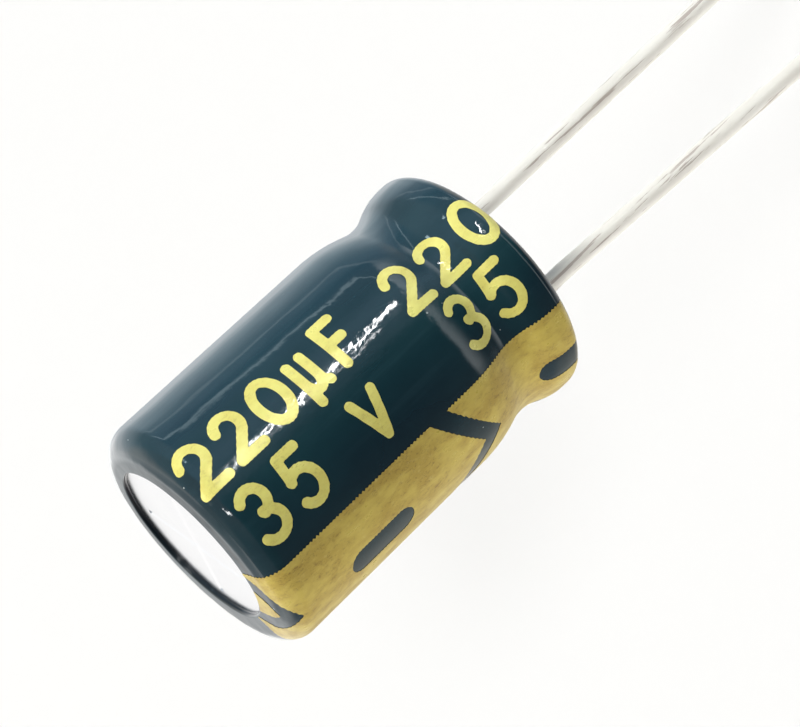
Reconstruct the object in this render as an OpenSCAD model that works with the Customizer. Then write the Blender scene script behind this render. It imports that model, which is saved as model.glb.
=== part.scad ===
// Radial electrolytic capacitor, 8 mm can, leads downwards.
// The seat of the body is at z = 0 and the closed end points up.
// The anode lead is at +X, the cathode lead and the polarity stripe at -X.

/* [Can] */
// outer diameter of the bare can
can_d = 8; // [7.6:0.1:9]
// height of the sleeved body, from the seat to the closed end
body_h = 12.65; // [12:0.05:18]
// wall of the drawn can
can_wall = 0.25; // [0.2:0.01:0.32]
// thickness of the closed end
can_end_t = 0.32; // [0.25:0.01:0.5]
// outer radius of the closed end's shoulder, over the sleeve
shoulder_r = 0.88; // [0.6:0.02:1.2]
// outer radius of the crimped end, over the sleeve
seat_r = 0.4; // [0.3:0.02:0.54]
// how far the crimped end bulges past the barrel
bulge_out = 0.06; // [0:0.01:0.12]

/* [Bead] */
// height of the bead's deepest line above the seat
bead_z = 2.2; // [2.15:0.05:2.8]
// depth of the bead below the barrel
bead_depth = 0.33; // [0.2:0.01:0.36]
// radius of the bead's hollow
bead_in_r = 1.7; // [1.2:0.05:1.8]
// radius where the bead runs out into the barrel
bead_up_r = 5; // [3:0.1:5.4]
// radius where the bead runs out into the crimped end
bead_down_r = 2; // [1.2:0.1:2.1]

/* [Crimped rim] */
// radius of the opening that the curled rim leaves
rim_open_r = 3.22; // [3.1:0.02:3.26]
// inner radius of the curl
curl_r = 0.1; // [0.06:0.01:0.14]
// straight lip of the curl that bites into the bung
curl_lip = 0.35; // [0.3:0.01:0.4]

/* [Vent] */
// width of the vent's crossed scores at the surface
vent_w = 0.24; // [0.16:0.02:0.4]
// depth of the scores
vent_depth = 0.08; // [0.06:0.01:0.12]
// length of each score
vent_len = 4.6; // [3:0.1:4.8]
// turn of the crossed scores about the can's axis
vent_turn = 16; // [0:1:89]

/* [Sleeve] */
// thickness of the shrunk sleeve
sleeve_t = 0.13; // [0.1:0.01:0.16]
// radius of the sleeve's opening at the closed end
top_open_r = 2.81; // [2.4:0.05:3]
// radius of the sleeve's opening at the crimped end
seat_open_r = 3.3; // [3.1:0.05:3.4]

/* [Stripe] */
// thickness of the printed ink
ink_t = 0.02; // [0.01:0.005:0.03]
// angle that the stripe takes round the body
stripe_ang = 60; // [40:1:80]
// angle between the stripe's middle and the cathode lead
stripe_turn = 6; // [-15:1:15]
// distance from one arrow head to the next along the body
stripe_repeat = 8.45; // [8:0.05:9]
// height of the lower arrow head's tip
arrow_z = 3.65; // [3:0.05:4]
// width of an arrow head's band along the body
arrow_w = 0.72; // [0.4:0.02:1]
// rise of an arrow head's arm from its tip to the stripe's edge
arrow_rise = 1.55; // [1:0.05:2]
// length of a minus bar
bar_len = 2.6; // [1.6:0.1:3]
// width of a minus bar
bar_w = 0.96; // [0.5:0.02:1.2]
// distance from an arrow head's tip to the middle of the next minus bar
bar_step = 5.17; // [5:0.01:5.4]

/* [Bung] */
// height of the bung's inner face above the seat
bung_top = 4; // [3.6:0.1:4.4]
// height of the bung's outer face above the seat
bung_face_z = 0.72; // [0.6:0.01:0.74]

/* [Leads] */
// distance between the lead centres
pitch = 3.5; // [3.3:0.05:3.7]
// diameter of the lead wires
wire_d = 0.6; // [0.4:0.05:0.8]
// length of the cathode lead below the seat
cathode_len = 18; // [12:0.5:24]
// how much longer the anode lead is
anode_extra = 4; // [1:0.5:8]
// straight length below the seat before the cathode lead leans outwards
lead_straight = 1.5; // [0.5:0.25:4]
// outward lean of the cathode lead
cathode_lean = 3; // [2:0.25:6]
// radius of the slight bend above the leaning length
bend_r = 12; // [8:1:20]
// how much fuller the wire's radius is in that bend
bend_swell = 0.003; // [0.003:0.001:0.01]
// width of the ridge that the cutter leaves across a wire's end
nip_w = 0.16; // [0.08:0.02:0.3]
// height of the slanted faces beside that ridge
nip_rise = 0.14; // [0.06:0.02:0.3]

/* [Tabs] */
// diameter of the round shank in the bung
shank_d = 1.3; // [1:0.05:1.5]
// height of the shank's lower end, where the wire is welded to it
weld_z = 0.8; // [0.75:0.01:0.84]
// angle that a paddle takes round the winding
paddle_ang = 56; // [40:1:64]
// distance from the paddle's end to the foil's upper edge
paddle_short = 0.9; // [0.4:0.1:2]
// height of the flattened neck between shank and paddle
neck_h = 0.7; // [0.6:0.05:1]

/* [Winding] */
// thickness of the anode foil
anode_foil_t = 0.18; // [0.12:0.01:0.2]
// thickness of the cathode foil
cathode_foil_t = 0.12; // [0.08:0.01:0.16]
// thickness of each paper separator
paper_t = 0.1; // [0.06:0.01:0.12]
// thickness of the closing tape
tape_t = 0.07; // [0.04:0.01:0.1]
// clearance between the bung and the papers' lower edges
winding_lift = 0.6; // [0.3:0.05:0.9]
// clearance between the papers' upper edges and the closed end
winding_top_gap = 0.3; // [0.1:0.05:0.8]
// how far the papers stand past the foils at each edge
paper_margin = 0.5; // [0.3:0.05:0.8]
// part of the winding's height that the tape covers
tape_share = 0.7; // [0.4:0.05:0.9]

/* [Fits] */
// clearance between pieces that nest or wind round each other
fit_gap = 0.02; // [0.01:0.005:0.03]

/* [Hidden] */
$fn = 96;
eps = 0.01;
arc_steps = 8;

// outer form of the sleeved body
body_r = can_d / 2 + fit_gap + sleeve_t;
bulge_r = body_r + bulge_out;
neck_r = body_r - bead_depth;
up_sum = bead_in_r + bead_up_r;
up_phi = acos(1 - bead_depth / up_sum);
up_z = bead_z + up_sum * sin(up_phi);
down_sum = bead_in_r + bead_down_r;
down_phi = acos(1 - (bead_depth + bulge_out) / down_sum);
down_z = bead_z - down_sum * sin(down_phi);
seat_fillet = min(seat_r, down_z - eps);

// insets of the nested surfaces below the sleeve's outside
can_in = sleeve_t + fit_gap;
cavity_in = can_in + can_wall;
bung_in = cavity_in + fit_gap;
can_top = body_h - can_in;
cavity_top = can_top - can_end_t;
cavity_r = body_r - cavity_in;

// curled rim
curl_x = rim_open_r + can_wall + curl_r;
curl_z = cavity_in + curl_r;

// winding
wind_z0 = bung_top + winding_lift;
wind_z1 = cavity_top - winding_top_gap;
foil_z0 = wind_z0 + paper_margin;
foil_z1 = wind_z1 - paper_margin;
layer_a = 0;
layer_c = paper_t + fit_gap;
layer_b = layer_c + cathode_foil_t + fit_gap;
layer_d = layer_b + paper_t + fit_gap;
wind_pitch = layer_d + anode_foil_t + fit_gap;
anode_mid = layer_d + anode_foil_t / 2;
tab_turn = 1;
wind_r0 = pitch / 2 - anode_mid - tab_turn * wind_pitch;
wind_out = wind_r0 + layer_b + paper_t + wind_pitch / 4 + fit_gap;
half_turns = 1 + floor(2 * (cavity_r - fit_gap - tape_t - wind_out) / wind_pitch);
tape_r = wind_out + (half_turns - 1) * wind_pitch / 2;
paddle_z1 = foil_z1 - paddle_short;

// points on an arc about [x, z], without its first point
function arc(x, z, r, from, to, steps) =
    [for (i = [1 : steps]) let (a = from + (to - from) * i / steps) [x + r * cos(a), z + r * sin(a)]];

// outline of the body less an inset, from the crimped end's flat to the closed end's middle
function body_points(inset, z_top) = let (
    top_r = max(shoulder_r - inset, 2 * eps),
    foot_r = max(seat_fillet - inset, 5 * eps),
    top_x = body_r - inset - top_r,
    foot_x = bulge_r - inset - foot_r
) concat(
    [[foot_x, inset]],
    arc(foot_x, inset + foot_r, foot_r, -90, 0, arc_steps),
    [[bulge_r - inset, down_z]],
    arc(bulge_r - bead_down_r, down_z, bead_down_r - inset, 0, down_phi, arc_steps),
    arc(neck_r + bead_in_r, bead_z, bead_in_r + inset, 180 + down_phi, 180 - up_phi, 2 * arc_steps),
    arc(body_r - bead_up_r, up_z, bead_up_r - inset, -up_phi, 0, arc_steps),
    [[body_r - inset, z_top - top_r]],
    arc(top_x, z_top - top_r, top_r, 0, 90, arc_steps),
    [[0, z_top]]
);

function reversed(list) = [for (i = [len(list) - 1 : -1 : 0]) list[i]];

// half section of the solid body less an inset
module body_section(inset) {
    polygon(concat([[0, inset]], body_points(inset, body_h - inset)));
}

// half section of the drawn can, with its curled rim
module can_section() {
    polygon(concat(
        body_points(can_in, can_top),
        reversed(body_points(cavity_in, cavity_top)),
        [[curl_x, cavity_in]],
        arc(curl_x, curl_z, curl_r, -90, -180, arc_steps),
        [[rim_open_r + can_wall, curl_z + curl_lip], [rim_open_r, curl_z + curl_lip],
            [rim_open_r, curl_z]],
        arc(curl_x, curl_z, can_wall + curl_r, -180, -90, arc_steps)
    ));
}

// section of the curled rim's inner turn, grown by a clearance, for the bung's groove
module curl_section(grow) {
    polygon(concat(
        [[curl_x + curl_lip, can_in - grow], [curl_x, can_in - grow]],
        arc(curl_x, curl_z, can_wall + curl_r + grow, -90, -180, arc_steps),
        [[rim_open_r - grow, curl_z + curl_lip + grow],
            [rim_open_r + can_wall + grow, curl_z + curl_lip + grow],
            [rim_open_r + can_wall + grow, curl_z]],
        arc(curl_x, curl_z, curl_r - grow, -180, -90, arc_steps),
        [[curl_x + curl_lip, cavity_in + grow]]
    ));
}

// one stroke of the vent score, a long V groove centred on the origin
module score() {
    rotate([90, 0, 0]) linear_extrude(height = vent_len, center = true)
        polygon([[-vent_w / 2, eps], [vent_w / 2, eps], [0, -vent_depth]]);
}

module sleeve() {
    color([0.07, 0.12, 0.13]) rotate_extrude() difference() {
        body_section(0);
        body_section(sleeve_t);
        translate([0, body_h - sleeve_t - eps]) square([top_open_r, 1]);
        translate([0, -eps]) square([seat_open_r, sleeve_t + 2 * eps]);
    }
}

// one arrow head of the stripe, laid out on the tangent plane, tip downwards
module arrow_shape(z) {
    half = body_r + 1;
    rise = arrow_rise * half / (body_r * sin(stripe_ang / 2));
    polygon([[0, z], [half, z + rise], [half, z + rise + arrow_w], [0, z + arrow_w],
        [-half, z + rise + arrow_w], [-half, z + rise]]);
}

module bar_shape(z) {
    run = bar_len - bar_w;
    translate([-bar_w / 2, z - run / 2]) square([bar_w, run]);
    translate([0, z - run / 2]) circle(d = bar_w);
    translate([0, z + run / 2]) circle(d = bar_w);
}

module polarity_stripe() {
    color([0.72, 0.61, 0.25]) rotate([0, 0, 180 + stripe_turn]) difference() {
        rotate([0, 0, -stripe_ang / 2]) rotate_extrude(angle = stripe_ang) difference() {
            body_section(-ink_t);
            body_section(0);
            translate([0, body_h - 1]) square([top_open_r, 2]);
            translate([0, -1]) square([body_r + 1, 1 + seat_fillet / 4]);
        }
        rotate([90, 0, 90]) linear_extrude(height = body_r + 1) {
            arrow_shape(arrow_z);
            arrow_shape(arrow_z + stripe_repeat);
            bar_shape(arrow_z + bar_step);
            bar_shape(arrow_z + bar_step - stripe_repeat);
        }
    }
}

module can() {
    color([0.86, 0.87, 0.88]) difference() {
        rotate_extrude() can_section();
        translate([0, 0, can_top]) for (turn = [0, 90]) rotate([0, 0, vent_turn + turn]) score();
    }
}

module bung() {
    color([0.1, 0.1, 0.1]) difference() {
        rotate_extrude() difference() {
            intersection() {
                body_section(bung_in);
                square([body_r, bung_top]);
            }
            square([rim_open_r, bung_face_z]);
            curl_section(fit_gap);
        }
        for (side = [-1, 1]) translate([side * pitch / 2, 0, -1])
            cylinder(d = shank_d + 2 * fit_gap, h = bung_top + 2);
    }
}

// wire of a given length up from a nipped end at the origin
module nipped_wire(len) {
    difference() {
        cylinder(d = wire_d, h = len);
        for (side = [0, 1]) mirror([side, 0, 0])
            rotate([90, 0, 0]) linear_extrude(height = 2 * wire_d, center = true)
                polygon([[nip_w / 2, 0], [nip_w / 2, -1], [wire_d, -1],
                    [wire_d, nip_rise * (wire_d - nip_w / 2) / (wire_d / 2 - nip_w / 2)]]);
    }
}

module anode_lead() {
    len = cathode_len + anode_extra;
    color([0.8, 0.79, 0.76]) translate([pitch / 2, 0, -len]) nipped_wire(len + weld_z);
}

// straight below the seat, then leaning outwards past a slight bend
module cathode_lead() {
    bend_h = bend_r * sin(cathode_lean);
    run = (cathode_len - lead_straight - bend_h) / cos(cathode_lean);
    lap = bend_h / 8;
    color([0.8, 0.79, 0.76]) mirror([1, 0, 0]) translate([pitch / 2, 0, -lead_straight]) {
        translate([0, 0, -lap]) cylinder(d = wire_d, h = weld_z + lead_straight + lap);
        translate([bend_r, 0, 0]) {
            rotate([90, 0, 0]) rotate([0, 0, 180]) rotate_extrude(angle = cathode_lean)
                translate([bend_r, 0]) circle(r = wire_d / 2 + bend_swell);
            rotate([0, -cathode_lean, 0]) translate([-bend_r, 0, -run]) nipped_wire(run + lap);
        }
    }
}

// one half turn of a strip: even turns lie on the +X side, odd ones on the -X side
module half_turn(n, layer, t) {
    side = n % 2 == 0 ? 1 : -1;
    r = wind_r0 + layer + n * wind_pitch / 2;
    translate([0, -side * wind_pitch / 4]) intersection() {
        difference() {
            circle(r = r + t);
            circle(r = r);
        }
        translate([side > 0 ? 0 : -10, -10]) square([10, 20]);
    }
}

module strip(first, last, layer, t) {
    for (n = [first : last]) half_turn(n, layer, t);
}

// sector of the winding at +X that a tab's paddle fills
module paddle_section(t, grow) {
    reach = pitch;
    half = paddle_ang / 2 + asin(2 * grow / pitch);
    translate([0, -wind_pitch / 4]) intersection() {
        difference() {
            circle(r = pitch / 2 + t / 2 + grow);
            circle(r = pitch / 2 - t / 2 - grow);
        }
        polygon([[0, 0], [reach * cos(half), -reach * sin(half)], [2 * reach, -reach * sin(half)],
            [2 * reach, reach * sin(half)], [reach * cos(half), reach * sin(half)]]);
    }
}

// tab at +X: round shank, flattened neck and the paddle let into the foil
module tab(t) {
    neck_z1 = wind_z0 - fit_gap;
    neck_z0 = neck_z1 - neck_h;
    neck_w = shank_d * 0.7;
    translate([pitch / 2, 0, weld_z]) cylinder(d = shank_d, h = neck_z0 - weld_z);
    translate([pitch / 2, 0, 0]) rotate([90, 0, 0]) linear_extrude(height = neck_w, center = true)
        polygon([[-neck_w / 2, neck_z0 - eps], [neck_w / 2, neck_z0 - eps],
            [t / 2, neck_z1], [-t / 2, neck_z1]]);
    translate([0, 0, neck_z1 - neck_h / 2]) linear_extrude(height = paddle_z1 - neck_z1 + neck_h / 2)
        paddle_section(t, 0);
}

module anode_tab() {
    color([0.75, 0.76, 0.77]) tab(anode_foil_t);
}

module cathode_tab() {
    color([0.75, 0.76, 0.77]) rotate([0, 0, 180]) tab(cathode_foil_t);
}

module foil(first, last, layer, t) {
    translate([0, 0, foil_z0]) linear_extrude(height = foil_z1 - foil_z0)
        strip(first, last, layer, t);
}

module paddle_slot(t) {
    translate([0, 0, foil_z0 - 1]) linear_extrude(height = paddle_z1 + fit_gap - foil_z0 + 1)
        paddle_section(t, fit_gap);
}

module anode_foil() {
    color([0.55, 0.56, 0.58]) difference() {
        foil(1, half_turns - 2, layer_d, anode_foil_t);
        paddle_slot(anode_foil_t);
    }
}

module cathode_foil() {
    color([0.7, 0.71, 0.73]) difference() {
        foil(1, half_turns - 2, layer_c, cathode_foil_t);
        rotate([0, 0, 180]) paddle_slot(cathode_foil_t);
    }
}

module paper(first, last, layer) {
    translate([0, 0, wind_z0]) linear_extrude(height = wind_z1 - wind_z0)
        strip(first, last, layer, paper_t);
}

module inner_paper() {
    color([0.85, 0.78, 0.62]) paper(0, half_turns - 1, layer_a);
}

module outer_paper() {
    color([0.82, 0.74, 0.58]) paper(0, half_turns - 1, layer_b);
}

module winding_tape() {
    tape_h = (wind_z1 - wind_z0) * tape_share;
    mid = (wind_z0 + wind_z1) / 2;
    color([0.75, 0.65, 0.4]) translate([0, 0, mid - tape_h / 2]) linear_extrude(height = tape_h)
        difference() {
            circle(r = tape_r + tape_t);
            circle(r = tape_r);
        }
}

sleeve();
polarity_stripe();
can();
bung();
anode_lead();
cathode_lead();
anode_tab();
cathode_tab();
anode_foil();
cathode_foil();
inner_paper();
outer_paper();
winding_tape();
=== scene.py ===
import math

import bpy
import numpy as np
from mathutils import Matrix, Vector


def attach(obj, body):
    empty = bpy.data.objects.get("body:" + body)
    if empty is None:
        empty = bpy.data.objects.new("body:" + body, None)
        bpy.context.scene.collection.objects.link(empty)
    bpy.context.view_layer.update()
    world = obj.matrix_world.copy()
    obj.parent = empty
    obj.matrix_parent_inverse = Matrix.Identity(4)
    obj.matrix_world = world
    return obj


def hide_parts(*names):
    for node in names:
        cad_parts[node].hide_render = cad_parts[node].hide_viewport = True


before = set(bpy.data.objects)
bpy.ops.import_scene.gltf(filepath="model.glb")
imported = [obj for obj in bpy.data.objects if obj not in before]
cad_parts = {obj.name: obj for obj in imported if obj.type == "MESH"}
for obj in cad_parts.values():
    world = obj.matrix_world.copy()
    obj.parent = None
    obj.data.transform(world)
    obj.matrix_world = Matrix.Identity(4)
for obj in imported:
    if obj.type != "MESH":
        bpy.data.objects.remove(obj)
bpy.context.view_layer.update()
MM = 0.001

# Sizes of the sleeved body in mm, the same as in the CAD

BODY_H = 12.65
BODY_R = 4.15
BULGE_R = 4.21          # below the bead
NECK_R = 3.82           # in the bead
BEAD_Z = 2.2
BEAD_IN_R = 1.7         # the bead's own curve
BEAD_UP_R = 5.0         # its blend into the wall above
BEAD_DOWN_R = 2.0       # and into the bulge below
SHOULDER_R = 0.88
SEAT_R = 0.4
SLEEVE_T = 0.13
TOP_OPEN_R = 2.81       # the sleeve's opening at the closed end
SEAT_OPEN_R = 3.3       # and at the seat

# degrees and heights at which the blends leave the bead's curve and meet the wall and the bulge
UP_PHI = math.degrees(math.acos(1 - (BODY_R - NECK_R) / (BEAD_IN_R + BEAD_UP_R)))
UP_Z = BEAD_Z + (BEAD_IN_R + BEAD_UP_R) * math.sin(math.radians(UP_PHI))
DOWN_PHI = math.degrees(math.acos(1 - (BULGE_R - NECK_R) / (BEAD_IN_R + BEAD_DOWN_R)))
DOWN_Z = BEAD_Z - (BEAD_IN_R + BEAD_DOWN_R) * math.sin(math.radians(DOWN_PHI))

# how far the film and the print lie inside the CAD's outer face
FILM_IN = 0.012
INK_IN = 0.002

ARC_STEPS, FINE_ARC_STEPS, WALL_STEPS = 14, 22, 12


def arc(x, z, r, start, end, n):
    """Points along an arc round (x, z), without its first one; start and end in degrees."""
    a = np.radians(np.linspace(start, end, n + 1)[1:])
    return [(x + r * math.cos(t), z + r * math.sin(t)) for t in a]


def body_curve(inset, seat_open, top_open):
    """Section of the body's outside less an inset, from the seat's opening round to the top one."""
    foot = SEAT_R - inset
    top = SHOULDER_R - inset
    pts = [(seat_open, inset), (BULGE_R - inset - foot, inset)]
    pts += arc(BULGE_R - inset - foot, inset + foot, foot, -90, 0, ARC_STEPS)
    pts += [(BULGE_R - inset, DOWN_Z)]
    pts += arc(BULGE_R - BEAD_DOWN_R, DOWN_Z, BEAD_DOWN_R - inset, 0, DOWN_PHI, ARC_STEPS)
    pts += arc(NECK_R + BEAD_IN_R, BEAD_Z, BEAD_IN_R + inset, 180 + DOWN_PHI, 180 - UP_PHI,
               FINE_ARC_STEPS)
    pts += arc(BODY_R - BEAD_UP_R, UP_Z, BEAD_UP_R - inset, -UP_PHI, 0, ARC_STEPS)
    z0, z1 = UP_Z, BODY_H - inset - top
    pts += [(BODY_R - inset, z0 + (z1 - z0) * i / WALL_STEPS) for i in range(1, WALL_STEPS + 1)]
    pts += arc(BODY_R - inset - top, z1, top, 0, 90, FINE_ARC_STEPS)
    pts += [(top_open, BODY_H - inset)]
    out = [pts[0]]
    for p in pts[1:]:
        if math.dist(p, out[-1]) > 1e-6:
            out.append(p)
    return np.array(out)


def mesh_object(name, verts, faces):
    """A smooth mesh from points in mm."""
    me = bpy.data.meshes.new(name)
    me.from_pydata([tuple(v) for v in np.asarray(verts) * MM], [], faces)
    me.polygons.foreach_set("use_smooth", [True] * len(me.polygons))
    me.update()
    ob = bpy.data.objects.new(name, me)
    bpy.context.scene.collection.objects.link(ob)
    return ob


def revolve(name, section, n, wave):
    """A closed section in (r, z) turned about Z; wave(r, z, phi) gives where a point goes."""
    verts = []
    for j in range(n):
        phi = 2 * math.pi * j / n
        for r, z in section:
            q, z = wave(r, z, phi)
            verts.append((q * math.cos(phi), q * math.sin(phi), z))
    m = len(section)
    faces = []
    for j in range(n):
        k = (j + 1) % n
        for i in range(m):
            i2 = (i + 1) % m
            faces.append((j * m + i, k * m + i, k * m + i2, j * m + i2))
    return mesh_object(name, verts, faces)


# Materials

# the film is wrinkled round this direction, from the first distance along it to the second, in mm
CRUMPLE_PHI = math.radians(-98)
CRUMPLE_FROM, CRUMPLE_FULL = 3.75, 4.0

# painted shade: the film goes near black where the gap under the fold lies in shade: between these
# radii, and these depths below the body's top
LIP_OUT_R, LIP_FULL_R = 3.25, 3.15
LIP_SHALLOW, LIP_DEEP = 0.016, 0.034

RIPPLE_DEPTH = 1.2e-5   # in m, of the film's surface and of the print on it


class Nodes:
    """Short calls for building a node tree."""

    def __init__(self, tree):
        self.tree = tree
        tree.nodes.clear()

    def put(self, kind, out=0, **inputs):
        """A new node's output, or the node itself if out is None.

        p_NAME sets a property, iN the input of that number and any other key the named input.
        """
        n = self.tree.nodes.new(kind)
        for key, value in inputs.items():
            if key.startswith("p_"):
                setattr(n, key[2:], value)
                continue
            numbered = key[0] == "i" and key[1:].isdigit()
            sock = n.inputs[int(key[1:]) if numbered else key.replace("_", " ")]
            if isinstance(value, bpy.types.NodeSocket):
                self.tree.links.new(value, sock)
            else:
                sock.default_value = value
        return n if out is None else n.outputs[out]

    def math(self, op, a, b=0.0):
        return self.put("ShaderNodeMath", p_operation=op, i0=a, i1=b)

    def ramp(self, fac, stops):
        """Colour by a value from 0 to 1, linear between the (position, colour) stops."""
        n = self.put("ShaderNodeValToRGB", out=None, Fac=fac)
        r = n.color_ramp
        while len(r.elements) < len(stops):
            r.elements.new(1.0)
        for e, (pos, col) in zip(r.elements, stops):
            e.position = pos
            e.color = (*col, 1)
        return n.outputs[0]

    def mix(self, fac, a, b, blend="MIX"):
        n = self.put("ShaderNodeMix", out=None, p_data_type="RGBA", p_blend_type=blend)
        for sock, value in ((n.inputs[0], fac), (n.inputs[6], a), (n.inputs[7], b)):
            if isinstance(value, bpy.types.NodeSocket):
                self.tree.links.new(value, sock)
            else:
                sock.default_value = (*value, 1) if isinstance(value, tuple) else value
        return n.outputs[2]

    def step(self, value, lo, hi):
        """0 at lo and 1 at hi, with soft ends; lo may be the larger."""
        return self.put("ShaderNodeMapRange", p_interpolation_type="SMOOTHSTEP", Value=value,
                        From_Min=lo, From_Max=hi, To_Min=0.0, To_Max=1.0)

    def place(self, scale, offset=(0, 0, 0)):
        """Object coordinates in mm, stretched by a scale."""
        co = self.put("ShaderNodeTexCoord", out=3)
        return self.put("ShaderNodeMapping", Vector=co, Scale=tuple(1000 * s for s in scale),
                        Location=offset)

    def noise(self, at, detail, rough):
        return self.put("ShaderNodeTexNoise", Vector=at, Scale=1.0, Detail=detail, Roughness=rough)

    def ripple(self):
        """Height of the film's surface: soft waves, most of them drawn out along the body."""
        waves = self.noise(self.place((1.5, 1.5, 0.9), (5, 1, 9)), 0.0, 0.5)
        drawn = self.noise(self.place((3.0, 3.0, 0.16), (2, 4, 0)), 1.0, 0.5)
        fine = self.noise(self.place((9.0, 9.0, 0.5), (1, 3, 6)), 1.0, 0.5)
        crumple = self.noise(self.place((3.4, 3.4, 2.6), (3, 9, 2)), 1.6, 0.6)
        facing = self.put("ShaderNodeVectorMath", out=1, p_operation="DOT_PRODUCT",
                          i0=self.put("ShaderNodeTexCoord", out=3),
                          i1=(math.cos(CRUMPLE_PHI) / MM, math.sin(CRUMPLE_PHI) / MM, 0.0))
        amount = self.math("MULTIPLY", self.step(facing, CRUMPLE_FROM, CRUMPLE_FULL), 0.55)
        amount = self.math("ADD", amount, 0.10)
        height = self.math("ADD", waves, self.math("MULTIPLY", drawn, 0.30))
        height = self.math("ADD", height, self.math("MULTIPLY", crumple, amount))
        return self.math("ADD", height, self.math("MULTIPLY", fine, 0.05))

    def lip_shade(self):
        """1 where shade is painted on the film, in the gap under the fold round the closed end's
        opening.
        """
        at = self.put("ShaderNodeSeparateXYZ", out=None, Vector=self.place((1, 1, 1)))
        x, y, z = at.outputs
        square = self.math("ADD", self.math("MULTIPLY", x, x), self.math("MULTIPLY", y, y))
        out = self.math("POWER", square, 0.5)
        return self.math("MULTIPLY", self.step(out, LIP_OUT_R, LIP_FULL_R),
                         self.step(z, BODY_H - LIP_SHALLOW, BODY_H - LIP_DEEP))


def material(name, build):
    """A material whose shader is what build returns for an empty node tree."""
    m = bpy.data.materials.new(name)
    m.use_nodes = True
    n = Nodes(m.node_tree)
    n.put("ShaderNodeOutputMaterial", out=None, Surface=build(n))
    return m


def film(n):
    """Dark glossy shrink film: faint lengthwise draw lines, a ripple, a few dust specks and painted
    shade under the fold at the closed end.
    """
    streak = n.noise(n.place((2.2, 2.2, 0.12)), 4.0, 0.6)
    cloud = n.noise(n.place((0.35, 0.35, 0.22), (3, 7, 1)), 3.0, 0.5)
    base = n.mix(n.step(cloud, 0.3, 0.7), (0.0062, 0.0225, 0.030), (0.0092, 0.033, 0.041))
    base = n.mix(n.math("MULTIPLY", n.step(streak, 0.52, 0.75), 0.35), base, (0.016, 0.042, 0.053))
    cell = n.put("ShaderNodeTexVoronoi", out=None, Vector=n.place((1.5, 1.5, 1.5)), Scale=1.0)
    near = n.math("LESS_THAN", cell.outputs["Distance"], 0.05)
    chance = n.put("ShaderNodeSeparateColor", Color=cell.outputs["Color"])
    speck = n.math("MULTIPLY", near, n.math("GREATER_THAN", chance, 0.80))
    base = n.mix(speck, base, (0.34, 0.38, 0.38))
    # painted shade: near black on the film in the shaded gap under the fold at the closed end
    base = n.mix(n.lip_shade(), base, (0.0015, 0.0030, 0.0045))
    bump = n.put("ShaderNodeBump", Height=n.ripple(), Strength=1.0, Distance=RIPPLE_DEPTH)
    rough = n.put("ShaderNodeMapRange", Value=streak, From_Min=0.3, From_Max=0.8, To_Min=0.05,
                  To_Max=0.10)
    rough = n.math("ADD", rough, n.math("MULTIPLY", speck, 0.5))
    return n.put("ShaderNodeBsdfPrincipled", Base_Color=base, Roughness=rough, IOR=1.62,
                 Normal=bump)


def ink(light, dark, pale, pitted):
    """Gold print: mottled, with brown pits and thin veins where it lies thin."""
    def build(n):
        mottle = n.noise(n.place((1.5, 1.5, 0.8), (1, 2, 3)), 5.0, 0.62)
        fine = n.noise(n.place((7.0, 7.0, 4.0), (8, 2, 5)), 4.0, 0.6)
        base = n.mix(n.step(mottle, 0.35, 0.66), dark, light)
        base = n.mix(n.math("MULTIPLY", n.step(fine, 0.55, 0.78), 0.45), base, pale)
        pits = n.math("MULTIPLY", n.step(fine, 0.44, 0.30), n.step(mottle, 0.58, 0.40))
        base = n.mix(n.math("MULTIPLY", pits, pitted), base, (0.27, 0.155, 0.03))
        level = n.noise(n.place((4.5, 4.5, 1.7), (6, 1, 4)), 4.0, 0.6)
        vein = n.math("ABSOLUTE", n.math("SUBTRACT", level, 0.5))
        veins = n.math("MULTIPLY", n.step(vein, 0.014, 0.004), n.step(mottle, 0.62, 0.42))
        base = n.mix(n.math("MULTIPLY", veins, 0.8 * pitted), base, (0.25, 0.14, 0.03))
        grain = n.noise(n.place((16, 16, 16)), 2.0, 0.5)
        height = n.math("ADD", n.ripple(), n.math("MULTIPLY", grain, 0.06))
        bump = n.put("ShaderNodeBump", Height=height, Strength=1.0, Distance=RIPPLE_DEPTH)
        rough = n.put("ShaderNodeMapRange", Value=mottle, From_Min=0.3, From_Max=0.7, To_Min=0.36,
                      To_Max=0.26)
        return n.put("ShaderNodeBsdfPrincipled", Base_Color=base, Metallic=0.10, Roughness=rough,
                     IOR=1.8, Normal=bump)
    return build


def metal(light, dark, rough_lo, rough_hi, stretch, bump_mm):
    """Bare metal with drawn or spun lines and duller patches."""
    def build(n):
        lines = n.noise(n.place(stretch), 4.0, 0.6)
        cloud = n.noise(n.place((0.8, 0.8, 0.8), (4, 4, 4)), 3.0, 0.5)
        both = n.math("ADD", n.math("MULTIPLY", lines, 0.6), n.math("MULTIPLY", cloud, 0.4))
        base = n.mix(n.step(both, 0.35, 0.65), dark, light)
        rough = n.put("ShaderNodeMapRange", Value=lines, From_Min=0.3, From_Max=0.7,
                      To_Min=rough_lo, To_Max=rough_hi)
        bump = n.put("ShaderNodeBump", Height=lines, Strength=1.0, Distance=bump_mm * MM)
        return n.put("ShaderNodeBsdfPrincipled", Base_Color=base, Metallic=1.0, Roughness=rough,
                     Normal=bump)
    return build


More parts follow.
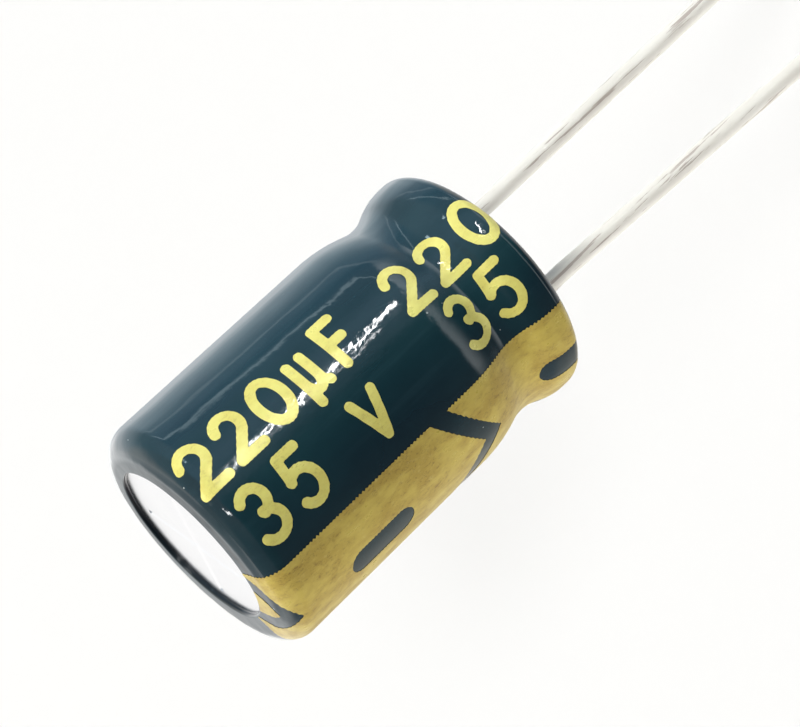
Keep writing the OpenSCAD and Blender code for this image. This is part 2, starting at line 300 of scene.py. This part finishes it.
def tinned(n):
    """Tin plating, bright but not a mirror, with thin lengthwise scratches that hold grime."""
    lines = n.noise(n.place((7.0, 7.0, 0.22), (2, 0, 5)), 3.0, 0.55)
    cloud = n.noise(n.place((1.6, 1.6, 0.5), (4, 4, 4)), 3.0, 0.5)
    base = n.mix(n.step(cloud, 0.35, 0.65), (0.775, 0.75, 0.685), (0.845, 0.825, 0.765))
    cuts = n.step(n.noise(n.place((8.5, 8.5, 0.32), (1, 8, 3)), 4.0, 0.62), 0.565, 0.61)
    base = n.mix(n.math("MULTIPLY", cuts, 0.65), base, (0.33, 0.25, 0.22))
    rough = n.put("ShaderNodeMapRange", Value=cloud, From_Min=0.3, From_Max=0.7, To_Min=0.30,
                  To_Max=0.48)
    height = n.math("SUBTRACT", lines, n.math("MULTIPLY", cuts, 0.6))
    bump = n.put("ShaderNodeBump", Height=height, Strength=1.0, Distance=4e-6)
    return n.put("ShaderNodeBsdfPrincipled", Base_Color=base, Metallic=0.08, Roughness=rough,
                 Normal=bump)


def dull(light, dark, scale, rough, bump_mm, fibre=(1, 1, 1)):
    """Rubber, paper and tape: a mottled colour with a fine grain or fibre."""
    def build(n):
        cloud = n.noise(n.place(tuple(scale * f for f in fibre)), 5.0, 0.6)
        fine = n.noise(n.place(tuple(6 * scale * f for f in fibre), (3, 1, 2)), 3.0, 0.6)
        base = n.mix(n.step(cloud, 0.32, 0.68), dark, light)
        height = n.math("ADD", cloud, n.math("MULTIPLY", fine, 0.5))
        bump = n.put("ShaderNodeBump", Height=height, Strength=1.0, Distance=bump_mm * MM)
        spread = n.put("ShaderNodeMapRange", Value=fine, From_Min=0.3, From_Max=0.7,
                       To_Min=rough - 0.08, To_Max=rough + 0.08)
        return n.put("ShaderNodeBsdfPrincipled", Base_Color=base, Roughness=spread, Normal=bump)
    return build


LOOKS = {
    "film": film,
    "stripe_ink": ink((0.66, 0.515, 0.104), (0.51, 0.36, 0.062), (0.74, 0.62, 0.20), 0.7),
    "figure_ink": ink((0.87, 0.81, 0.21), (0.78, 0.70, 0.16), (0.92, 0.88, 0.34), 0.22),
    "bright_can": metal((0.96, 0.96, 0.96), (0.93, 0.93, 0.935), 0.18, 0.24, (0.5, 0.5, 0.5),
                        0.0006),
    "tinned": tinned,
    "aluminium": metal((0.80, 0.81, 0.82), (0.68, 0.69, 0.71), 0.30, 0.45, (5.0, 5.0, 0.8), 0.003),
    "etched_foil": metal((0.52, 0.53, 0.55), (0.40, 0.41, 0.43), 0.55, 0.75, (6.0, 6.0, 6.0),
                         0.004),
    "rubber": dull((0.030, 0.030, 0.031), (0.017, 0.017, 0.018), 2.5, 0.62, 0.010),
    "paper": dull((0.76, 0.68, 0.52), (0.66, 0.57, 0.41), 3.0, 0.80, 0.010, (1, 1, 0.4)),
    "tape": dull((0.62, 0.51, 0.26), (0.54, 0.43, 0.20), 2.0, 0.40, 0.004, (1, 1, 0.3)),
}
MAT = {name: material(name, build) for name, build in LOOKS.items()}

CAD_MATERIALS = {
    "can": "bright_can", "bung": "rubber", "anode_tab": "aluminium", "cathode_tab": "aluminium",
    "anode_foil": "etched_foil", "cathode_foil": "etched_foil", "inner_paper": "paper",
    "outer_paper": "paper", "winding_tape": "tape", "sleeve": "film",
    "polarity_stripe": "stripe_ink", "anode_lead": "tinned", "cathode_lead": "tinned",
}
for node, mat in CAD_MATERIALS.items():
    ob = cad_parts[node]
    ob.data.materials.clear()
    ob.data.materials.append(MAT[mat])


def finish_piece(ob, mat, node):
    """Give a piece its material and body, and hide the CAD node that it stands for, if any."""
    ob.data.materials.append(MAT[mat])
    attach(ob, "root")
    if node:
        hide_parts(node)


# Sleeve

TOP_EDGE_R = 0.09       # rounding of the film's edge at the closed end
SEAT_EDGE_R = 0.04      # and at the seat
FOLD_UNDER = 0.149      # depth of the fold's underside at the closed end
TURNS = 256             # steps round the axis

FOLD_SHIFT = 0.19       # the opening at the closed end lies this far off the axis,
FOLD_PHI = math.radians(-24)    # towards here
FOLD_FREE_R = 3.3       # only the film inside this radius is shifted
SLOPE_PHI = math.radians(-114)  # the fold's edge rises and its back dips on this side,
EDGE_RISE = 0.020       # by so much at the edge
BACK_DIP = 0.036        # and so much at this radius:
DIP_R = 3.27


def lip_wave(r, z, phi):
    """The film's cut edges run unevenly; the fold at the closed end is off centre and slopes."""
    if z > BODY_H - 0.4 and r < 3.8:
        near = 0.5 + 0.5 * math.cos(phi - SLOPE_PHI)
        if z > BODY_H - SLEEVE_T + 0.01:
            if r < DIP_R:
                down = min(max((r - 2.88) / 0.39, 0), 1)
                z += near * (EDGE_RISE - (EDGE_RISE + BACK_DIP) * down)
            else:
                z -= near * BACK_DIP * (1 - ((r - DIP_R) / 0.53) ** 2)
        if r < FOLD_FREE_R:
            off = FOLD_SHIFT * math.cos(phi - FOLD_PHI)
            uneven = 0.012 * math.sin(3 * phi + 0.6) + 0.006 * math.sin(11 * phi + 2.0)
            r += (FOLD_FREE_R - r) / 0.5 * (off + uneven)
        return r, z
    if z < 0.3 and r < 3.6:
        uneven = 0.03 + 0.018 * math.sin(5 * phi) + 0.010 * math.sin(17 * phi + 1.0)
        return r + (3.6 - r) / 0.3 * uneven, z
    return r, z


outer = body_curve(FILM_IN, SEAT_OPEN_R + SEAT_EDGE_R, TOP_OPEN_R + TOP_EDGE_R)
inner = body_curve(SLEEVE_T, SEAT_OPEN_R + 0.03, TOP_OPEN_R + 0.16)[::-1]
lip_top = arc(TOP_OPEN_R + TOP_EDGE_R, BODY_H - FILM_IN - TOP_EDGE_R, TOP_EDGE_R, 90, 180, 7)
lip_top += [(TOP_OPEN_R, BODY_H - FOLD_UNDER), (TOP_OPEN_R + 0.10, BODY_H - FOLD_UNDER)]
lip_seat = [(SEAT_OPEN_R, SLEEVE_T - 0.02)]
lip_seat += arc(SEAT_OPEN_R + SEAT_EDGE_R, FILM_IN + SEAT_EDGE_R, SEAT_EDGE_R, 180, 268, 4)
section = [tuple(p) for p in outer] + lip_top + [tuple(p) for p in inner] + lip_seat
sleeve = revolve("sleeve_film", section, TURNS, lip_wave)
finish_piece(sleeve, "film", "sleeve")


# Print on the sleeve

class Skin:
    """The body's surface as a strip: t runs in mm along its section, phi round the axis."""

    def __init__(self, inset):
        coarse = body_curve(inset, SEAT_OPEN_R + 0.1, TOP_OPEN_R + 0.06)
        self.t = np.r_[0, np.cumsum(np.hypot(*np.diff(coarse, axis=0).T))]
        self.pts = coarse

    def at(self, t):
        """Radius and height at a section length."""
        r = np.interp(t, self.t, self.pts[:, 0])
        z = np.interp(t, self.t, self.pts[:, 1])
        return r, z

    def t_of_z(self, z):
        """Section length at a height on the wall, away from the flat folds at both ends."""
        keep = (self.t > 0.9) & (self.t < self.t[-1] - 0.75)
        return np.interp(z, self.pts[keep, 1], self.t[keep])

    def xyz(self, phi, t):
        r, z = self.at(t)
        if z > BODY_H / 2:
            r, z = lip_wave(r, z, phi)
        return r * math.cos(phi), r * math.sin(phi), z


SKIN = Skin(INK_IN)


def printed(phis, ts, field):
    """Points and faces of the part of a (phi, t) grid where field is below zero, cut at zero."""
    F = field(phis[:, None], ts[None, :])
    index, verts, faces = {}, [], []

    def vert(key, phi, t):
        if key not in index:
            index[key] = len(verts)
            verts.append(SKIN.xyz(phi, t))
        return index[key]

    live = F < 0
    cells = live[:-1, :-1] | live[1:, :-1] | live[1:, 1:] | live[:-1, 1:]
    for i, j in zip(*np.nonzero(cells)):
        ring = ((i, j), (i + 1, j), (i + 1, j + 1), (i, j + 1))
        face = []
        for (a, b), (c, d) in zip(ring, ring[1:] + ring[:1]):
            fa, fb = F[a, b], F[c, d]
            if fa < 0:
                face.append(vert((a, b), phis[a], ts[b]))
            if (fa < 0) != (fb < 0):
                s = fa / (fa - fb)
                key = ((a, b), (c, d)) if (a, b) < (c, d) else ((c, d), (a, b))
                face.append(vert(key, phis[a] + s * (phis[c] - phis[a]),
                                 ts[b] + s * (ts[d] - ts[b])))
        if len(face) > 2:
            faces.append(tuple(face))
    return verts, faces


def tooth(t, pitch):
    """Triangle wave from -1 to 1, the raster of the print's edges."""
    return 4 * np.abs((t / pitch) % 1 - 0.5) - 1


STRIPE_PHI = math.radians(186)
STRIPE_HALF = math.radians(29.5)
REPEAT = 8.45           # height from one arrow head to the next
TIP_Z = 3.65            # height of the lower arrow head's tip
TIP_RISE = 1.55         # from the tip to the head's ends
BAND = 0.72             # the head's height along the axis
BAR_ABOVE = 5.17        # from a tip to the middle of the bar above it
BAR_HALF = 0.82         # half the bar's straight length
BAR_R = 0.48            # half its width
OVER_Z = 11.5           # above this height the pattern runs on as on a straight wall
FOOT_Z = 0.14           # the print's lower end
RASTER = 0.135          # pitch of the print's raster
SIDE_TEETH = 0.042
INNER_TEETH = 0.022


def stripe_field(phi, t):
    """Below zero on the stripe's gold, in mm from its edges."""
    r, z = SKIN.at(t)
    d = phi - STRIPE_PHI
    over = t > SKIN.t_of_z(OVER_Z)
    z = np.where(over, OVER_Z + t - SKIN.t_of_z(OVER_Z), z)
    y = np.where(over, BODY_R, r) * np.sin(d)
    uneven = 0.6 + 0.4 * np.sin(2.1 * t) * np.sin(5.3 * t + 1.0)
    edge = BODY_R * (np.abs(d) - STRIPE_HALF)
    out = edge + SIDE_TEETH * uneven * tooth(t + 0.05 * np.sign(d), RASTER)
    raster = INNER_TEETH * uneven * tooth(t, RASTER)
    slope = TIP_RISE / (BODY_R * math.sin(STRIPE_HALF))
    for tip in (TIP_Z, TIP_Z + REPEAT):
        q = z - (tip + slope * np.abs(y))
        band = np.maximum(q - BAND, -q) / math.hypot(1, slope) + raster
        out = np.maximum(out, -band)
    for mid in (TIP_Z + BAR_ABOVE, TIP_Z + BAR_ABOVE - REPEAT):
        along = np.maximum(np.abs(z - mid) - BAR_HALF, 0)
        bar = np.hypot(along, y) - BAR_R + raster
        out = np.maximum(out, -bar)
    return np.maximum(out, np.where(t < 2, FOOT_Z - z, -1))


edge_band = np.arange(-0.16, 0.161, 0.02) / BODY_R
between = np.arange(-STRIPE_HALF + 0.2 / BODY_R, STRIPE_HALF - 0.19 / BODY_R, 0.04 / BODY_R)
stripe_phis = STRIPE_PHI + np.r_[edge_band - STRIPE_HALF, between, edge_band + STRIPE_HALF]
stripe_ts = np.arange(0.4, SKIN.t[-1], 0.03)
stripe = mesh_object("stripe_print", *printed(stripe_phis, stripe_ts, stripe_field))
finish_piece(stripe, "stripe_ink", "polarity_stripe")


def bow(x, y, rx, ry, start, end, n=16):
    """Points along part of an ellipse, angles in degrees."""
    a = np.radians(np.linspace(start, end, n + 1))
    return [(x + rx * math.cos(t), y + ry * math.sin(t)) for t in a]


# strokes of each figure in a box 1 wide and 1 high
FIGURES = {
    "0": [bow(0.5, 0.5, 0.5, 0.5, 0, 360, 32)],
    "2": [bow(0.48, 0.70, 0.46, 0.30, 168, -38) + [(0.0, 0.0)], [(0.0, 0.0), (1.0, 0.0)]],
    "3": [bow(0.46, 0.745, 0.43, 0.255, 150, -80), bow(0.46, 0.265, 0.50, 0.265, 88, -148)],
    "5": [[(0.92, 1.0), (0.20, 1.0), (0.10, 0.54)], bow(0.46, 0.33, 0.50, 0.33, 138, -140)],
    "u": [[(0.08, 0.78), (0.08, -0.22)],
          bow(0.42, 0.28, 0.34, 0.28, 180, 360) + [(0.76, 0.78)],
          [(0.76, 0.78), (0.76, 0.10), (0.96, 0.0)]],
    "F": [[(0.08, 0.0), (0.08, 1.0), (0.95, 1.0)], [(0.08, 0.52), (0.80, 0.52)]],
    "V": [[(0.0, 1.0), (0.48, 0.0), (1.0, 1.0)]],
}

# figure, heights where it starts and ends, its foot and head in degrees from ZERO_PHI, its stroke
PRINT_LINES = [
    ("2", 12.38, 11.18, 10, 35, 0.33), ("2", 10.98, 9.78, 10, 35, 0.33),
    ("0", 9.55, 8.30, 10, 35, 0.33), ("u", 8.14, 7.05, 10, 35, 0.32),
    ("F", 6.78, 5.72, 10, 35, 0.33),
    ("3", 12.02, 10.78, -22, 5.5, 0.32), ("5", 10.50, 9.25, -22, 5.5, 0.32),
    ("V", 7.62, 6.45, -22, 1, 0.31),
    ("2", 4.20, 2.98, 7, 32, 0.31), ("2", 2.72, 1.52, 7, 32, 0.31),
    ("0", 1.22, -0.02, 7, 32, 0.31),
    ("3", 3.45, 2.28, -23, 4, 0.30), ("5", 2.02, 0.86, -23, 4, 0.30),
]
ZERO_PHI = -114.0
FIGURE_GRID = 0.032     # mm between the grid's lines


def skin_length(z):
    """Section length at a height, run on as on a straight wall below the foot's curve."""
    return SKIN.t_of_z(z) if z > 0.3 else SKIN.t_of_z(0.5) - (0.5 - z)


def figure_grid(strokes, z0, z1, low, high, width):
    """Grid and field of a figure that reads from z0 down to z1."""
    t0, t1 = skin_length(z0), skin_length(z1)
    h = math.radians(high - low) * BODY_R
    pad = width / 2
    w = t0 - t1

    def field(phi, t):
        x = t0 - t
        y = (phi - math.radians(ZERO_PHI + low)) * BODY_R
        best = np.inf
        for line in strokes:
            pts = [(pad + (w - width) * px, pad + (h - width) * py) for px, py in line]
            for (ax, ay), (bx, by) in zip(pts, pts[1:]):
                dx, dy = bx - ax, by - ay
                s = np.clip(((x - ax) * dx + (y - ay) * dy) / (dx * dx + dy * dy + 1e-12), 0, 1)
                best = np.minimum(best, np.hypot(x - ax - s * dx, y - ay - s * dy))
        return best - pad + 0.006 * tooth(t, 0.15)

    phis = math.radians(ZERO_PHI) + np.arange(math.radians(low) - 0.6 / BODY_R,
                                              math.radians(high) + 0.2 / BODY_R,
                                              FIGURE_GRID / BODY_R)
    return phis, np.arange(max(t1 - 0.15, 0.35), t0 + 0.15, FIGURE_GRID), field


figure_verts, figure_faces = [], []
for figure, *place in PRINT_LINES:
    verts, faces = printed(*figure_grid(FIGURES[figure], *place))
    first = len(figure_verts)
    figure_verts += verts
    figure_faces += [tuple(first + i for i in face) for face in faces]
figures = mesh_object("rating_print", figure_verts, figure_faces)
finish_piece(figures, "figure_ink", None)


# Leads

WIRE_R = 0.3
WIRE_SIDES = 40
LEAD_X = 1.75           # half the leads' spacing
LEAD_TOP = 1.1          # the wires start inside the bung
ANODE_LEN = 22
CATHODE_LEN = 18
STRAIGHT = 1.5          # the cathode lead's straight start
BEND_R = 12
LEAN = math.radians(3)
NIP_HALF = 0.08         # half width of the ridge that the cutter leaves
NIP_RISE = 0.14         # how far the wire's rim lies above it


def sweep_wire(name, path, side, node):
    """Round wire along a path in the XZ plane, its lower end nipped to a ridge."""
    n = WIRE_SIDES
    path = [np.array(p, float) for p in path]
    verts, faces = [], []
    for i, p in enumerate(path):
        a, b = path[max(i - 1, 0)], path[min(i + 1, len(path) - 1)]
        along = (b - a) / np.linalg.norm(b - a)
        across = np.array([along[1], -along[0]])
        for j in range(n):
            c, s = math.cos(2 * math.pi * j / n), math.sin(2 * math.pi * j / n)
            x, z = p + across * WIRE_R * c
            if i == len(path) - 1:
                rise = max(0.0, (abs(c) * WIRE_R - NIP_HALF) / (WIRE_R - NIP_HALF)) * NIP_RISE
                x, z = np.array([x, z]) - along * rise
            verts.append((side * x, WIRE_R * s, z))
    last = (len(path) - 1) * n
    for i in range(0, last, n):
        for j in range(n):
            k = (j + 1) % n
            faces.append((i + j, i + k, i + n + k, i + n + j))
    walls = len(faces)
    faces.append(tuple(range(n)))
    faces.append((last + 1, last, last + n - 1))
    for j in range(2, n // 2):
        faces.append((last + j, last + j - 1, last + n - j + 1, last + n - j))
    faces.append((last + n // 2, last + n // 2 - 1, last + n // 2 + 1))
    if side < 0:
        faces = [f[::-1] for f in faces]
    ob = mesh_object(name, verts, faces)
    for end in ob.data.polygons[walls:]:
        end.use_smooth = False
    finish_piece(ob, "tinned", node)
    return ob


anode_path = [(LEAD_X, z) for z in np.linspace(LEAD_TOP, -ANODE_LEN, 30) if z > 0.3 - ANODE_LEN]
anode_path += [(LEAD_X, 0.2 - ANODE_LEN), (LEAD_X, -ANODE_LEN)]
bend = [(LEAD_X + BEND_R * (1 - math.cos(a)), -STRAIGHT - BEND_R * math.sin(a))
        for a in np.linspace(0, LEAN, 6)]
end_x, end_z = bend[-1]
run = (CATHODE_LEN - STRAIGHT - BEND_R * math.sin(LEAN)) / math.cos(LEAN)
tail = [(end_x + s * math.sin(LEAN), end_z - s * math.cos(LEAN))
        for s in [*np.linspace(0, run - 0.3, 20)[1:], run - 0.2, run]]
cathode_path = [(LEAD_X, LEAD_TOP), (LEAD_X, 0.0)] + bend + tail
wires = [sweep_wire("anode_wire", anode_path, 1, "anode_lead"),
         sweep_wire("cathode_wire", cathode_path, -1, "cathode_lead")]

# Floor

FLOOR_Z = -22.02 * MM
FLOOR_HALF = 4.0        # in m
floor_mesh = bpy.data.meshes.new("floor")
floor_mesh.from_pydata([(x * FLOOR_HALF, y * FLOOR_HALF, FLOOR_Z)
                        for x, y in ((-1, -1), (1, -1), (1, 1), (-1, 1))], [], [(0, 1, 2, 3)])
floor = bpy.data.objects.new("floor", floor_mesh)
bpy.context.scene.collection.objects.link(floor)


def floor_shader(n):
    """Pale paper to the eye, darker to the light that it would throw back on the object."""
    seen = n.put("ShaderNodeLightPath", out=0)
    grain = n.noise(n.place((0.004, 0.004, 0.004)), 2.0, 0.5)
    tone = n.mix(n.step(grain, 0.3, 0.7), (0.746, 0.747, 0.744), (0.752, 0.753, 0.750))
    lit = n.put("ShaderNodeBsdfDiffuse", Color=tone)
    dim = n.put("ShaderNodeBsdfDiffuse", Color=(0.32, 0.315, 0.31, 1))
    return n.put("ShaderNodeMixShader", i0=seen, i1=dim, i2=lit)


floor_mesh.materials.append(material("floor_paper", floor_shader))
floor.visible_glossy = False

# World and lamps. Turn is in degrees round the axis from the camera's side, rise above level.

CAMERA_PHI = math.radians(ZERO_PHI)

# Tones that the film and the metal reflect, as turn and colour: below the horizon, where the
# body's wall looks in the photograph's view, round it, and above it
LOW_TONES = (
    (-180, 0.54, 0.50, 0.43), (-155, 0.72, 0.67, 0.57), (-135, 0.70, 0.66, 0.58),
    (-115, 0.50, 0.47, 0.44), (-95, 0.34, 0.32, 0.32), (-80, 0.20, 0.20, 0.22),
    (-60, 0.09, 0.08, 0.11), (-40, 0.05, 0.06, 0.11), (-10, 0.03, 0.12, 0.17),
    (8, 0.08, 0.26, 0.32), (20, 0.30, 0.50, 0.62), (44, 0.48, 0.76, 1.02), (60, 0.26, 0.46, 0.64),
    (70, 0.30, 0.50, 0.70), (80, 0.30, 0.50, 0.74), (88, 0.22, 0.42, 0.66),
    (96, 0.42, 0.64, 0.90), (102, 0.44, 0.66, 0.90), (112, 0.60, 0.82, 1.02),
    (124, 0.94, 1.18, 1.36), (136, 1.10, 1.28, 1.40), (148, 1.40, 1.50, 1.56),
    (160, 0.94, 1.00, 1.05), (172, 0.60, 0.64, 0.68), (180, 0.54, 0.55, 0.57),
)
LEVEL_TONES = (
    (-180, 1.03, 1.025, 1.02), (-174, 1.03, 1.025, 1.02), (-165, 1.5, 1.48, 1.45),
    (-145, 0.95, 0.93, 0.92), (-125, 0.32, 0.30, 0.33), (-95, 0.30, 0.29, 0.29),
    (-60, 0.06, 0.08, 0.10), (-10, 0.03, 0.10, 0.14), (8, 0.08, 0.24, 0.30),
    (20, 0.30, 0.50, 0.62), (44, 0.48, 0.76, 1.02), (60, 0.40, 0.60, 0.82),
    (80, 0.46, 0.66, 0.86), (100, 0.36, 0.52, 0.66), (112, 0.36, 0.50, 0.62),
    (125, 0.78, 0.94, 1.06), (143, 1.25, 1.34, 1.42), (158, 1.70, 1.70, 1.70),
    (168, 1.70, 1.70, 1.70), (175, 1.03, 1.025, 1.02), (180, 1.03, 1.025, 1.02),
)
HIGH_TONES = (
    (-180, 0.36, 0.37, 0.39), (-165, 0.62, 0.63, 0.65), (-154, 1.18, 1.17, 1.16),
    (-135, 1.18, 1.17, 1.16), (-122, 0.36, 0.37, 0.40), (-95, 0.24, 0.26, 0.29),
    (-40, 0.16, 0.19, 0.23), (0, 0.30, 0.34, 0.38), (60, 0.36, 0.42, 0.48),
    (85, 0.40, 0.50, 0.58), (105, 0.44, 0.56, 0.66), (122, 0.90, 0.91, 0.92),
    (131, 1.16, 1.155, 1.15), (152, 1.16, 1.155, 1.15), (165, 0.60, 0.62, 0.65),
    (180, 0.36, 0.37, 0.39),
)
BEHIND_BELOW = (0.98, 0.975, 0.97)
OVERHEAD = (0.44, 0.46, 0.48)

# lit patches: turn, half width, fade, rise, half height, fade, lean; colour
STREAKS = (
    ((31.5, 0.26, 0.40, -18.4, 4.2, 1.0, -1.2), (100.0, 100.0, 100.0)),
    ((26.4, 0.15, 0.4, -19.0, 0.7, 0.8, -1.2), (26.0, 26.0, 26.0)),
    ((79.0, 0.7, 1.4, -20.0, 12.0, 5.0, 1.5), (1.30, 1.60, 1.66)),
    ((101.0, 0.6, 1.5, -20.0, 12.0, 5.0, 1.0), (0.50, 0.56, 0.56)),
)
GLINTS = (
    ((4.0, 2.0, 1.5, 38.0, 4.0, 3.0, 0.4), (16.0, 16.0, 16.0)),
    ((34.0, 2.5, 1.5, 58.0, 4.0, 3.0, 0.0), (14.0, 14.0, 14.0)),
    ((59.0, 1.2, 1.5, 3.0, 1.6, 2.0, 0.0), (5.0, 6.5, 7.0)),
)


def build_world():
    """White to the eye, dim to the diffuse surfaces, and a room of tones to what reflects."""
    w = bpy.data.worlds.new("room")
    bpy.context.scene.world = w
    w.use_nodes = True
    n = Nodes(w.node_tree)
    ray = n.put("ShaderNodeLightPath", out=None)
    co = n.put("ShaderNodeTexCoord", out=0)
    front = n.put("ShaderNodeVectorMath", out=1, p_operation="DOT_PRODUCT", i0=co,
                  i1=(math.cos(CAMERA_PHI), math.sin(CAMERA_PHI), 0))
    side = n.put("ShaderNodeVectorMath", out=1, p_operation="DOT_PRODUCT", i0=co,
                 i1=(-math.sin(CAMERA_PHI), math.cos(CAMERA_PHI), 0))
    up = n.put("ShaderNodeSeparateXYZ", out=2, Vector=co)
    turn = n.math("MULTIPLY", n.math("ARCTAN2", side, front), 180 / math.pi)
    rise = n.math("MULTIPLY", n.math("ARCSINE", up), 180 / math.pi)

    def round_room(stops):
        """Tone by turn; the ramp holds half of each value, because it stops at 1."""
        half = [((d + 180) / 360, (r / 2, g / 2, b / 2)) for d, r, g, b in stops]
        tone = n.ramp(n.math("DIVIDE", n.math("ADD", turn, 180.0), 360.0), half)
        return n.mix(1.0, tone, (2.0, 2.0, 2.0), "MULTIPLY")

    room = round_room(LOW_TONES)
    floor_tone = n.mix(n.step(front, 0.3, -0.3), room, BEHIND_BELOW)
    room = n.mix(n.step(rise, -12.0, 1.0), room, round_room(LEVEL_TONES))
    room = n.mix(n.step(rise, -38.0, -50.0), room, floor_tone)
    room = n.mix(n.step(rise, 21.0, 33.0), room, round_room(HIGH_TONES))
    room = n.mix(n.step(rise, 66.0, 82.0), room, OVERHEAD)

    def window(value, mid, half, soft):
        a = n.step(value, mid - half - soft, mid - half)
        b = n.step(value, mid + half + soft, mid + half)
        return n.math("MULTIPLY", a, b)

    def patch(turn_mid, half, soft, rise_mid, tall, fade, lean):
        """A lit patch, its middle moving by lean degrees of turn for each degree of rise."""
        moved = n.math("MULTIPLY", n.math("SUBTRACT", rise, rise_mid), lean)
        at = n.math("SUBTRACT", turn, moved)
        return n.math("MULTIPLY", window(at, turn_mid, half, soft),
                      window(rise, rise_mid, tall, fade))

    def add(room, amount, colour):
        grey = n.put("ShaderNodeCombineXYZ", X=amount, Y=amount, Z=amount)
        return n.mix(1.0, room, n.mix(1.0, grey, colour, "MULTIPLY"), "ADD")

    turned = n.math("ABSOLUTE", turn)
    far = n.math("MULTIPLY", window(turned, 180.0, 9.0, 6.0), window(rise, -4.0, 5.0, 5.0))
    room = add(room, far, (0.55, 0.55, 0.55))
    for where, colour in STREAKS:
        room = add(room, patch(*where), colour)
    edge = n.math("MULTIPLY", n.step(rise, -31.0, -34.5), n.step(rise, -48.0, -35.0))
    bead_line = n.math("MULTIPLY", window(turn, 8.0, 62.0, 25.0), n.math("POWER", edge, 1.5))
    room = add(room, bead_line, (1.25, 1.30, 1.30))
    for where, colour in GLINTS:
        room = add(room, patch(*where), colour)
    gloss = n.put("ShaderNodeBackground", Color=room, Strength=1.0)
    seen = n.put("ShaderNodeBackground", Color=(0.985, 0.978, 0.970, 1), Strength=1.0)
    soft = n.put("ShaderNodeBackground", Color=(0.98, 0.99, 1.0, 1), Strength=0.30)
    mixed = n.put("ShaderNodeMixShader", i0=ray.outputs["Is Glossy Ray"], i1=soft, i2=gloss)
    mixed = n.put("ShaderNodeMixShader", i0=ray.outputs["Is Camera Ray"], i1=mixed, i2=seen)
    n.put("ShaderNodeOutputWorld", out=None, Surface=mixed)
    w.cycles.sampling_method = "NONE"


build_world()


def sun(name, turn, rise, strength, angle, colour, only=None):
    """Sunlight of an angular size in degrees from a turn and a rise, on some objects or all."""
    data = bpy.data.lights.new(name, "SUN")
    data.energy = strength * math.pi
    data.angle = math.radians(angle)
    data.color = colour
    ob = bpy.data.objects.new(name, data)
    a, e = CAMERA_PHI + math.radians(turn), math.radians(rise)
    back = Vector((math.cos(a) * math.cos(e), math.sin(a) * math.cos(e), math.sin(e)))
    ob.rotation_mode = "QUATERNION"
    ob.rotation_quaternion = back.to_track_quat("Z", "Y")
    ob.visible_glossy = False
    bpy.context.scene.collection.objects.link(ob)
    if only:
        lit = bpy.data.collections.new(name + "_on")
        for receiver in only:
            lit.objects.link(receiver)
        ob.light_linking.receiver_collection = lit


sun("key", 64, 30, 1.10, 24, (1.0, 0.985, 0.96))
sun("front", 12, 25, 0.06, 30, (1.0, 1.0, 1.0))
sun("side", -104, 25, 0.79, 40, (1.0, 0.99, 0.97))
sun("floor_light", 8, 18, 0.45, 9, (0.97, 0.99, 1.0), [floor])
sun("wire_light", -62, 8, 0.50, 50, (1.0, 0.99, 0.97), wires)

# Camera

cam_data = bpy.data.cameras.new("camera")
cam = bpy.data.objects.new("camera", cam_data)
bpy.context.scene.collection.objects.link(cam)
bpy.context.scene.camera = cam
cam_data.sensor_fit = "HORIZONTAL"
cam_data.sensor_width = 36.0
cam_data.lens = 99.87
cam_data.clip_start, cam_data.clip_end = 0.001, 20.0

# The view was fitted to the body's outline, with a wall radius of FITTED_R. In the camera's
# right, down and forward axes, these are the body's axis, two directions square to it, the first
# towards the camera and the second across the picture, and the axis's point at FITTED_Z.
FITTED_R = 4.13
FITTED_Z = 6.0
axis_c = Vector((-0.68253672, 0.64718238, -0.33955648))
u_c = Vector((0.2483974, -0.23152711, -0.9405817))
v_c = Vector((-0.68734443, -0.72632649, -0.00273266))
mid_c = Vector((-1.54091872, 1.20473112, 67.37519149)) * (BODY_R / FITTED_R)
mid_z = FITTED_Z * BODY_R / FITTED_R
x_c = math.cos(-CAMERA_PHI) * u_c + math.sin(-CAMERA_PHI) * v_c
y_c = axis_c.cross(x_c)
loc = Vector((-mid_c.dot(x_c), -mid_c.dot(y_c), mid_z - mid_c.dot(axis_c))) * MM
rot = Matrix(tuple((c[0], -c[1], -c[2]) for c in (x_c, y_c, axis_c)))
cam.matrix_world = Matrix.Translation(loc) @ rot.to_4x4()

bpy.context.scene.view_settings.view_transform = "Standard"
bpy.context.view_layer.update()
